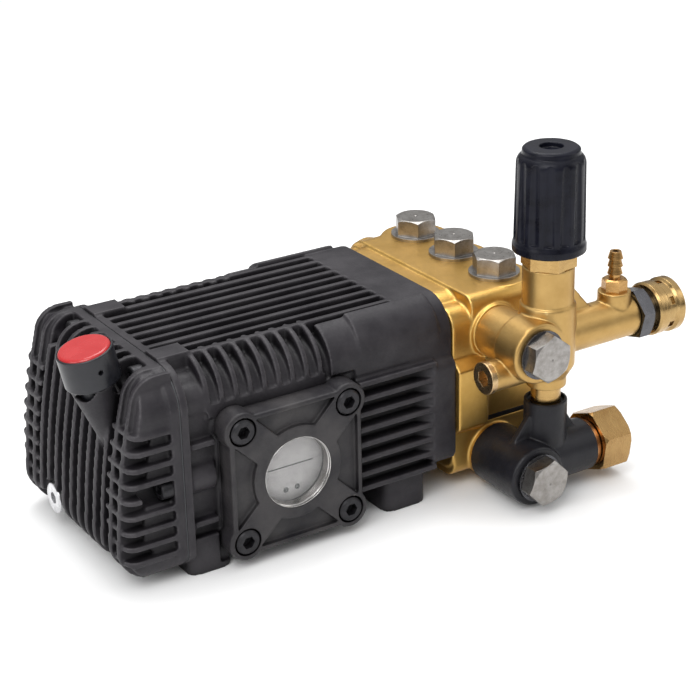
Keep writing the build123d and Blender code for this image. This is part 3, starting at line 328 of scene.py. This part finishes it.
MATERIALS = {
    # The housing's lighter convex edges are partly wear, partly a painted highlight on the fins.
    "housing": cast_paint("cast_housing", CHARCOAL, CHARCOAL_LIGHT, edge_wear_and_highlight=0.6, tips=(0.515, 0.565)),
    "cover_housing": cast_paint("cast_cover", (0.0130, 0.0118, 0.0145), (0.15, 0.140, 0.135), 0.46, 0.6),
    "gasket": rubbery("gasket_fibre", (0.035, 0.037, 0.04)),
    "black_screw": milled_steel("black_oxide", (0.026, 0.025, 0.028), (0.010, 0.010, 0.012), 0.34, 0.6),
    "brass": cast_brass("cast_brass", (0.52, 0.315, 0.082), (0.62, 0.385, 0.115)),
    "steel": milled_steel("grey_steel", STEEL, STEEL_DARK),
    "dark_steel": turned_metal("dark_collar", "X", arm, (0.10, 0.10, 0.108), (0.04, 0.04, 0.042)),
    "zinc": milled_steel("bright_zinc", (0.72, 0.72, 0.73), (0.45, 0.45, 0.46), 0.26),
    "knob_plastic": moulded("knob_plastic", (0.0024, 0.0025, 0.0058), (0.024, 0.026, 0.042), 0.28,
                            grain=0.03, shine=0.17),
    "cap_plastic": moulded("cap_plastic", (0.006, 0.0065, 0.009), (0.035, 0.035, 0.042), 0.30, shine=0.4),
    "red_plastic": moulded("red_plastic", (0.37, 0.008, 0.010), (0.50, 0.04, 0.04), 0.24,
                           coat=0.3, grain=0.006, shine=0.35),
    "inlet_coat": cast_paint("inlet_coat", (0.0065, 0.0062, 0.0085), (0.050, 0.050, 0.058), 0.36, shine=0.25),
    "glass": clear_glass("sight_glass"),
    "reflector": disc_silver("silver_disc", window),
    "rubber": rubbery("black_rubber", (0.012, 0.012, 0.012)),
    "packing": rubbery("packing_cord", (0.12, 0.06, 0.03)),
    "ceramic": moulded("ceramic", (0.88, 0.86, 0.80), (0.95, 0.94, 0.90), 0.12, coat=0.5, grain=0.002),
    "alloy": milled_steel("die_cast_alloy", (0.70, 0.71, 0.72), (0.52, 0.53, 0.54), 0.36),
    "bearing_steel": turned_metal("bearing_steel", "Y", shaft, (0.72, 0.72, 0.73), (0.5, 0.5, 0.5), 0.12),
    "forged_steel": turned_metal("forged_steel", "Y", shaft, (0.50, 0.50, 0.51), (0.33, 0.32, 0.31), 0.3),
    "cage_plastic": moulded("cage_plastic", (0.80, 0.78, 0.70), (0.9, 0.88, 0.8), 0.4),
}
barb = middle("injector_barb")
side = middle("gallery_plugs")
TURNED = {
    "tower": turned_metal("turned_tower", "Z", tower, (0.46, 0.300, 0.118), BRASS_DARK),
    "hose": turned_metal("turned_hose", "X", hose, (0.40, 0.250, 0.100), (0.24, 0.125, 0.045), 0.22, 0.005),
    "arm": turned_metal("turned_arm", "X", arm, (0.43, 0.290, 0.125), BRASS_DARK, 0.20),
    "tail": turned_metal("turned_tail", "X", hose, (0.46, 0.235, 0.105), (0.24, 0.105, 0.045)),
    "barb": turned_metal("turned_barb", "Z", barb, (0.47, 0.275, 0.100), (0.24, 0.120, 0.040)),
    "side": turned_metal("turned_side", "Y", side, (0.52, 0.375, 0.20), (0.28, 0.130, 0.055), 0.26),
}
TURNED_BY_NODE = {
    "unloader_gland_nut": "tower", "unloader_piston": "tower", "bypass_tube": "tower",
    "injector_barb": "barb", "hose_tailpiece": "tail", "hose_swivel_nut": "hose",
    "coupler_sleeve": "arm", "gallery_plugs": "side", "packing_retainers": "hose",
}
CAST_BY_NODE = {
    "unloader_body": cast_brass("cast_brass_arm", (0.42, 0.262, 0.090), (0.50, 0.325, 0.120)),
}


def material_for(node, slot):
    if slot == "turned_brass":
        return TURNED[TURNED_BY_NODE[node]]
    return CAST_BY_NODE.get(node, MATERIALS[slot])


slots = {part["node"]: part["material_slot"] for part in frame["record"]["subparts"]}
for name, node in nodes.items():
    node.data.materials.clear()
    node.data.materials.append(material_for(name, slots[name]))


# ---- cast skins ---------------------------------------------------------------------------------
def near_axis(points, axis, centre, radius, low=-1.0, high=1.0):
    """True for the points within a radius of an axis, between two places along it (metres)."""
    along = "XYZ".index(axis)
    across = [i for i in range(3) if i != along]
    distance = np.hypot(points[:, across[0]] - centre[across[0]], points[:, across[1]] - centre[across[1]])
    return (distance < radius) & (points[:, along] > low) & (points[:, along] < high)


def cast_skin(node, voxel, passes, machined, faces=180000, body="pump_body"):
    """Replace a casting by a dense skin whose corners flow into each other; machined places stay crisp."""
    source = nodes[node]
    scratch = bpy.data.objects.new(node + "_skin", source.data.copy())
    bpy.context.scene.collection.objects.link(scratch)
    remesh = scratch.modifiers.new("skin", "REMESH")
    remesh.mode = "VOXEL"
    remesh.voxel_size = voxel
    dense = bpy.data.meshes.new_from_object(scratch.evaluated_get(bpy.context.evaluated_depsgraph_get()))
    scratch.modifiers.clear()
    scratch.data = dense
    points = np.empty(3 * len(dense.vertices), np.float32)
    dense.vertices.foreach_get("co", points)
    points = points.reshape(-1, 3)
    crisp = machined(points)
    for title, chosen in (("cast", ~crisp), ("cut", crisp)):
        group = scratch.vertex_groups.new(name=title)
        group.add(np.flatnonzero(chosen).tolist(), 1.0, "REPLACE")
        relax = scratch.modifiers.new(title, "SMOOTH")
        relax.factor = 0.5
        relax.iterations = passes if title == "cast" else 2
        relax.vertex_group = title
    count = len(dense.polygons) * 2
    if count > faces:
        fewer = scratch.modifiers.new("fewer", "DECIMATE")
        fewer.ratio = faces / count
    final = bpy.data.meshes.new_from_object(scratch.evaluated_get(bpy.context.evaluated_depsgraph_get()))
    scratch.modifiers.clear()
    scratch.data = final
    final.shade_smooth()
    final.materials.clear()
    final.materials.append(source.data.materials[0])
    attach(scratch, body)
    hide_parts(node)


def manifold_machined(points):
    crisp = np.zeros(len(points), bool)
    for row in (-1, 0, 1):
        y = MID + row * PLUNGER_PITCH
        crisp |= near_axis(points, "X", (0, y, 0), 0.0150, high=0.156)
        crisp |= near_axis(points, "X", (0, y, -0.020), 0.0130, low=0.110)
        crisp |= near_axis(points, "Z", (0.143, y, 0), 0.0135, low=0.010)
    for z in (DELIVERY_BANJO_Z, SUCTION_BANJO_Z):
        crisp |= near_axis(points, "Y", (BANJO_X, 0, z), 0.0090)
    return crisp


def unloader_machined(points):
    crisp = near_axis(points, "Z", (TOWER_X, TOWER_Y, 0), 0.0098)
    crisp |= near_axis(points, "Y", (BANJO_X, 0, DELIVERY_BANJO_Z), 0.0090)
    crisp |= near_axis(points, "X", (0, TOWER_Y, 0.043), 0.0070)
    crisp |= near_axis(points, "X", (0, TOWER_Y, 0.030), 0.0055, high=0.13)
    crisp |= points[:, 2] > 0.0625
    crisp |= points[:, 1] > SEAT_Y
    return crisp


def inlet_machined(points):
    crisp = near_axis(points, "Z", (TOWER_X, TOWER_Y, 0), 0.0105)
    crisp |= near_axis(points, "Y", (BANJO_X, 0, SUCTION_BANJO_Z), 0.0090)
    crisp |= near_axis(points, "X", (0, TOWER_Y, -0.025), 0.0098)
    crisp |= points[:, 1] > SEAT_Y
    return crisp


def cover_machined(points):
    crisp = near_axis(points, "Y", (0, 0, 0), 0.0195)
    for x in (-0.030, 0.030):
        for z in (-0.030, 0.030):
            crisp |= near_axis(points, "Y", (x, 0, z), 0.0080)
    crisp |= points[:, 1] > -0.1400
    return crisp


def knob_machined(points):
    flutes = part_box("unloader_knob")[0][2] + 0.045
    return near_axis(points, "Z", (TOWER_X, TOWER_Y, 0), 0.0153, high=flutes)


def nowhere(points):
    return np.zeros(len(points), bool)


cast_skin("manifold", 0.55 * MM, 14, manifold_machined)
cast_skin("unloader_body", 0.45 * MM, 16, unloader_machined)
cast_skin("inlet_body", 0.45 * MM, 14, inlet_machined)
cast_skin("bearing_cover", 0.45 * MM, 8, cover_machined)
cast_skin("unloader_knob", 0.40 * MM, 5, knob_machined, 90000, "unloader_knob")
cast_skin("crankcase", 0.75 * MM, 3, nowhere)
cast_skin("rear_cover", 0.75 * MM, 3, nowhere)


# ---- sight glass ----------------------------------------------------------------------------------
def lathe(name, centre, profile, steps, material):
    """Closed ring or disc turned about Y; the profile is (radius, place along Y) in metres."""
    work = bmesh.new()
    loops = []
    for step in range(steps):
        turn = 2 * math.pi * step / steps
        loop = []
        for radius, place in profile:
            spot = Vector((radius * math.cos(turn), place, radius * math.sin(turn)))
            loop.append(work.verts.new(spot + Vector(centre)))
        loops.append(loop)
    for loop, following in zip(loops, loops[1:] + loops[:1]):
        for index in range(len(profile)):
            other = (index + 1) % len(profile)
            work.faces.new((loop[index], loop[other], following[other], following[index]))
    bmesh.ops.remove_doubles(work, verts=work.verts, dist=1e-7)
    bmesh.ops.dissolve_degenerate(work, edges=work.edges, dist=1e-8)
    bmesh.ops.recalc_face_normals(work, faces=work.faces)
    return finished(name, work, material)


def finished(name, work, material):
    """Turn a bmesh into a piece that rides on the pump body."""
    mesh = bpy.data.meshes.new(name)
    work.to_mesh(mesh)
    work.free()
    mesh.shade_smooth()
    mesh.set_sharp_from_angle(angle=math.radians(32))
    mesh.materials.append(material)
    piece = bpy.data.objects.new(name, mesh)
    bpy.context.scene.collection.objects.link(piece)
    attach(piece, "pump_body")
    return piece


def sight_window():
    """Polished seat, domed window and the level mark behind it."""
    low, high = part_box("sight_glass")
    back = high.y                                # front face of the reflector
    seat = low.y                                 # outer face of the flat window
    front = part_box("bearing_cover")[0].y         # outer face of the cover
    rubber = MATERIALS["rubber"]
    steps_in = [(18.95, 0.35), (18.75, 0.1), (18.45, 0.3), (18.45, 1.2), (18.75, 1.5), (18.75, 1.8),
                (18.35, 2.1), (18.2, 3.4)]       # radius and depth below the cover's face, in mm
    wall = [(radius * MM, front + depth * MM) for radius, depth in steps_in]
    wall = [(18.95 * MM, seat)] + wall + [(17.7 * MM, seat)]
    bezel = lathe("sight_seat", (0, 0, 0), wall, 160, polished)
    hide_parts("sight_glass_bezel")
    rim = 18.7
    dome = [(0.0, back - 0.4 * MM), (rim * MM, back - 0.4 * MM), (rim * MM, seat + 0.35 * MM)]
    for radius in (16.0, 12.0, 8.0, 4.0, 0.0):
        dome.append((radius * MM, seat + (0.05 + 0.3 * (radius / rim) ** 2) * MM))
    lens = lathe("sight_window", (0, 0, 0), dome, 128, MATERIALS["glass"])
    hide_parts("sight_glass")
    work = bmesh.new()
    bar = bmesh.ops.create_cube(work, size=1.0)["verts"]
    bmesh.ops.scale(work, vec=(26 * MM, 0.16 * MM, 0.7 * MM), verts=bar)
    bmesh.ops.bevel(work, geom=work.edges[:], offset=0.07 * MM, segments=2, affect="EDGES")
    bmesh.ops.translate(work, vec=(0, back - 0.12 * MM, 0.5 * MM), verts=work.verts)
    finished("level_mark", work, rubber)
    button = [(0.0, 0.0), (1.45, 0.0), (1.45, -0.12), (1.15, -0.24), (0.0, -0.28)]
    button = [(radius * MM, place * MM) for radius, place in button]
    for name, x, z in (("level_dot_left", -3.0, -12.5), ("level_dot_right", 3.6, -12.3)):
        lathe(name, (x * MM, back - 0.02 * MM, z * MM), button, 32, rubber)


polished = turned_metal("polished_seat", "Y", (0, 0, 0), (0.50, 0.49, 0.48), (0.25, 0.24, 0.23), 0.16,
                        0.008)
sight_window()


# ---- floor, light and camera --------------------------------------------------------------------
def matt_floor():
    g = Graph("studio_floor")
    g.link(g.mix(g.noise(0.08, 4.0), (0.86, 0.86, 0.86), (0.90, 0.90, 0.90)), "Base Color")
    g.fix(Roughness=0.7)
    return g.material


def floor():
    mesh = bpy.data.meshes.new("studio_floor")
    work = bmesh.new()
    bmesh.ops.create_grid(work, x_segments=8, y_segments=8, size=6.0)
    work.to_mesh(mesh)
    work.free()
    piece = bpy.data.objects.new("studio_floor", mesh)
    piece.location.z = cad_box[0][2] - 0.1 * MM
    mesh.materials.append(matt_floor())
    bpy.context.scene.collection.objects.link(piece)


def lamp(name, place, aim, size, power):
    light = bpy.data.lights.new(name, "AREA")
    light.shape = "RECTANGLE"
    light.size, light.size_y = size
    light.energy = power
    piece = bpy.data.objects.new(name, light)
    piece.location = place
    piece.rotation_euler = (Vector(place) - Vector(aim)).to_track_quat("Z", "Y").to_euler()
    bpy.context.scene.collection.objects.link(piece)


def sky(horizon, zenith):
    """Soft studio surround: bright overhead, greyer low down."""
    world = bpy.data.worlds.new("studio")
    world.use_nodes = True
    tree = world.node_tree
    place = tree.nodes.new("ShaderNodeTexCoord")
    parts = tree.nodes.new("ShaderNodeSeparateXYZ")
    tree.links.new(place.outputs["Generated"], parts.inputs["Vector"])
    ramp = tree.nodes.new("ShaderNodeMapRange")
    for key, number in zip(RANGE_SOCKETS, (0.05, 0.95, horizon, zenith)):
        ramp.inputs[key].default_value = number
    tree.links.new(parts.outputs["Z"], ramp.inputs["Value"])
    tree.links.new(ramp.outputs["Result"], tree.nodes["Background"].inputs["Strength"])
    tree.nodes["Background"].inputs["Color"].default_value = WHITE
    bpy.context.scene.world = world


def camera():
    turn, lift, roll = math.radians(-32.152), math.radians(23.504), math.radians(-1.259)
    back = Vector((math.sin(turn) * math.cos(lift), -math.cos(turn) * math.cos(lift), math.sin(lift)))
    right = Vector((math.cos(turn), math.sin(turn), 0.0))
    up = back.cross(right)
    across = math.cos(roll) * right + math.sin(roll) * up
    above = -math.sin(roll) * right + math.cos(roll) * up
    lens = bpy.data.cameras.new("camera")
    lens.sensor_width = 36.0
    lens.lens = 95.40
    lens.clip_start, lens.clip_end = 0.05, 20.0
    piece = bpy.data.objects.new("camera", lens)
    frame_axes = Matrix((across, above, back)).transposed().to_4x4()
    piece.matrix_world = Matrix.Translation(Vector((-0.4114, -0.8544, 0.4197))) @ frame_axes
    bpy.context.scene.collection.objects.link(piece)
    bpy.context.scene.camera = piece


floor()
aim = Vector((0.06, -0.09, 0.02))
lamp("key", (-0.70, -0.75, 1.10), aim, (0.8, 0.8), 10.0)
lamp("top", (0.25, 0.25, 1.30), aim, (1.0, 0.8), 13.0)
lamp("side", (1.10, -0.75, 0.55), aim, (0.5, 0.8), 2.0)
lamp("rear", (-1.20, -0.25, 0.55), aim, (0.6, 0.6), 3.5)
sky(0.18, 1.10)
camera()
bpy.context.scene.view_settings.view_transform = "Standard"
